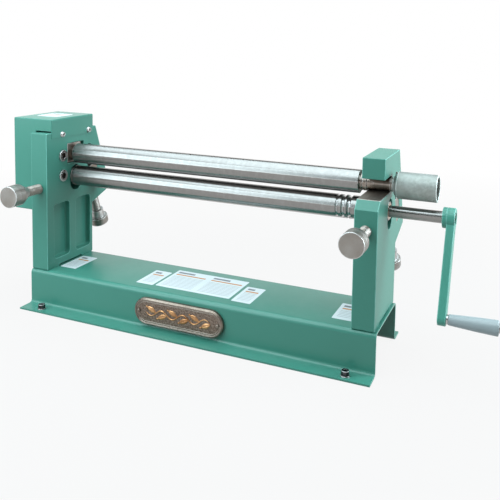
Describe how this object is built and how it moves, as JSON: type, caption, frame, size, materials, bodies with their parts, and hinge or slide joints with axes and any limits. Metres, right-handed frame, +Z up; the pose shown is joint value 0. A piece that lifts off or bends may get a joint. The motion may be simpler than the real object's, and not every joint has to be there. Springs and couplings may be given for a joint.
{
  "type": "slip roll machine",
  "caption": "Hand-cranked bench slip roll: geared steel pinch rolls and a rear bending roll between cast standards on a folded channel base.",
  "frame": {"origin": "bottom centre of the whole machine's box, on the plane that the base flanges stand on", "axes": "+X along the rolls towards the crank, +Y from the front adjusting knobs to the rear roll, +Z up"},
  "size_m": [0.9296, 0.2938, 0.368],
  "materials": {
    "teal_enamel": "satin enamel over a lightly textured casting",
    "polished_roll_steel": "ground and polished",
    "turned_knob_steel": "turned, lightly oxidised, bright faced ends",
    "machined_block_steel": "milled",
    "bearing_bronze": "bored and turned",
    "gear_steel": "cut teeth, oiled",
    "galvanised_tube": "dull mottled zinc",
    "bright_screw_steel": "plated",
    "black_screw_steel": "black oxide",
    "nameplate_metal": "dark antiqued ground with lighter relief",
    "grip_plastic": "smooth moulded"
  },
  "bodies": {
    "frame": {"base_channel": "teal_enamel", "left_standard": "teal_enamel", "right_standard": "teal_enamel", "gear_cover": "teal_enamel", "cover_screws": "bright_screw_steel", "standard_bolts": "bright_screw_steel", "standard_bolt_washers": "bright_screw_steel", "bench_screws": "black_screw_steel", "bench_washers": "black_screw_steel", "nameplate": "nameplate_metal", "nameplate_rivets": "bright_screw_steel", "idler_axles": "bright_screw_steel", "idler_retaining_rings": "gear_steel", "top_block_pivot": "machined_block_steel"},
    "lower_bearings": {"lower_left_block": "machined_block_steel", "lower_right_block": "machined_block_steel"},
    "lower_bushes": {"lower_left_bush": "bearing_bronze", "lower_right_bush": "bearing_bronze"},
    "lower_roll": {"lower_roll": "polished_roll_steel", "lower_gear": "gear_steel", "lower_gear_key": "gear_steel", "lower_gear_ring": "gear_steel", "crank_arm": "teal_enamel", "crank_set_screw": "black_screw_steel", "crank_spindle": "bright_screw_steel"},
    "crank_grip": {"crank_grip": "grip_plastic"},
    "idler_lower": {"idler_gear_lower": "gear_steel", "idler_bush_lower": "bearing_bronze"},
    "idler_upper": {"idler_gear_upper": "gear_steel", "idler_bush_upper": "bearing_bronze"},
    "top_pivot": {"top_left_block": "machined_block_steel"},
    "top_roll": {"top_roll": "polished_roll_steel", "top_gear": "gear_steel", "top_gear_key": "gear_steel", "top_gear_ring": "gear_steel", "journal_collar": "machined_block_steel", "lift_tube": "galvanised_tube", "lift_tube_washer": "bright_screw_steel", "lift_tube_screw": "bright_screw_steel"},
    "rear_bearings": {"rear_left_block": "machined_block_steel", "rear_right_block": "machined_block_steel"},
    "rear_roll": {"rear_roll": "polished_roll_steel"},
    "rear_left_adjuster": {"rear_left_screw": "turned_knob_steel", "rear_left_knob": "turned_knob_steel"},
    "front_left_wedge": {"front_left_wedge": "machined_block_steel"},
    "front_left_adjuster": {"front_left_screw": "turned_knob_steel", "front_left_knob": "turned_knob_steel"},
    "rear_right_adjuster": {"rear_right_screw": "turned_knob_steel", "rear_right_knob": "turned_knob_steel"},
    "front_right_wedge": {"front_right_wedge": "machined_block_steel"},
    "front_right_adjuster": {"front_right_screw": "turned_knob_steel", "front_right_knob": "turned_knob_steel"}
  },
  "joints": [
    {"name": "lower_lift", "type": "slide", "parent": "frame", "child": "lower_bearings", "axis": [0, 0, 1], "range_m": [-0.003, 0.005]},
    {"name": "bush_turn", "type": "hinge", "parent": "lower_bearings", "child": "lower_bushes", "pos_m": [-0.3908, 0.02452, 0.2466], "axis": [1, 0, 0], "range_deg": [-9, 14.6]},
    {"name": "crank_spin", "type": "hinge", "parent": "lower_bushes", "child": "lower_roll", "pos_m": [-0.3908, 0.02452, 0.2466], "axis": [1, 0, 0], "continuous": true},
    {"name": "grip_spin", "type": "hinge", "parent": "lower_roll", "child": "crank_grip", "pos_m": [0.3865, -0.04409, 0.10594], "axis": [1, 0, 0], "continuous": true},
    {"name": "idler_lower_spin", "type": "hinge", "parent": "frame", "child": "idler_lower", "pos_m": [-0.4168, -0.01568, 0.252], "axis": [1, 0, 0], "continuous": true},
    {"name": "idler_upper_spin", "type": "hinge", "parent": "frame", "child": "idler_upper", "pos_m": [-0.4168, -0.01568, 0.2922], "axis": [1, 0, 0], "continuous": true},
    {"name": "top_swing", "type": "hinge", "parent": "frame", "child": "top_pivot", "pos_m": [-0.3908, 0.02452, 0.2922], "axis": [0, 0, -1], "range_deg": [0, 12]},
    {"name": "top_spin", "type": "hinge", "parent": "top_pivot", "child": "top_roll", "pos_m": [-0.3908, 0.02452, 0.2922], "axis": [1, 0, 0], "continuous": true},
    {"name": "rear_lift", "type": "slide", "parent": "frame", "child": "rear_bearings", "axis": [0, -0.3338, 0.9426], "range_m": [0, 0.034]},
    {"name": "rear_roll_spin", "type": "hinge", "parent": "rear_bearings", "child": "rear_roll", "pos_m": [-0.3908, 0.09034, 0.22806], "axis": [1, 0, 0], "continuous": true},
    {"name": "front_left_slide", "type": "slide", "parent": "frame", "child": "front_left_wedge", "axis": [0, 1, 0], "range_m": [-0.00301, 0.00501]},
    {"name": "front_left_turn", "type": "hinge", "parent": "front_left_wedge", "child": "front_left_adjuster", "pos_m": [-0.3908, -0.06688, 0.2325], "axis": [0, 1, 0], "range_deg": [-541, 901]},
    {"name": "rear_left_turn", "type": "hinge", "parent": "rear_bearings", "child": "rear_left_adjuster", "pos_m": [-0.3908, 0.10483, 0.18715], "axis": [0, -0.3338, 0.9426], "range_deg": [-1, 4081]},
    {"name": "front_right_slide", "type": "slide", "parent": "frame", "child": "front_right_wedge", "axis": [0, 1, 0], "range_m": [-0.00301, 0.00501]},
    {"name": "front_right_turn", "type": "hinge", "parent": "front_right_wedge", "child": "front_right_adjuster", "pos_m": [0.2582, -0.06688, 0.2325], "axis": [0, 1, 0], "range_deg": [-541, 901]},
    {"name": "rear_right_turn", "type": "hinge", "parent": "rear_bearings", "child": "rear_right_adjuster", "pos_m": [0.2582, 0.10483, 0.18715], "axis": [0, -0.3338, 0.9426], "range_deg": [-1, 4081]}
  ],
  "couplings": [
    {"joint": "bush_turn", "follows": "lower_lift", "rad_per_m": 49.751},
    {"joint": "idler_lower_spin", "follows": "crank_spin", "ratio": -1},
    {"joint": "idler_upper_spin", "follows": "crank_spin", "ratio": 1},
    {"joint": "top_spin", "follows": "crank_spin", "ratio": -1},
    {"joint": "front_left_slide", "follows": "lower_lift", "ratio": 1},
    {"joint": "front_left_turn", "follows": "lower_lift", "rad_per_m": 3141.6},
    {"joint": "rear_left_turn", "follows": "rear_lift", "rad_per_m": 2094.4},
    {"joint": "front_right_slide", "follows": "lower_lift", "ratio": 1},
    {"joint": "front_right_turn", "follows": "lower_lift", "rad_per_m": 3141.6},
    {"joint": "rear_right_turn", "follows": "rear_lift", "rad_per_m": 2094.4}
  ]
}
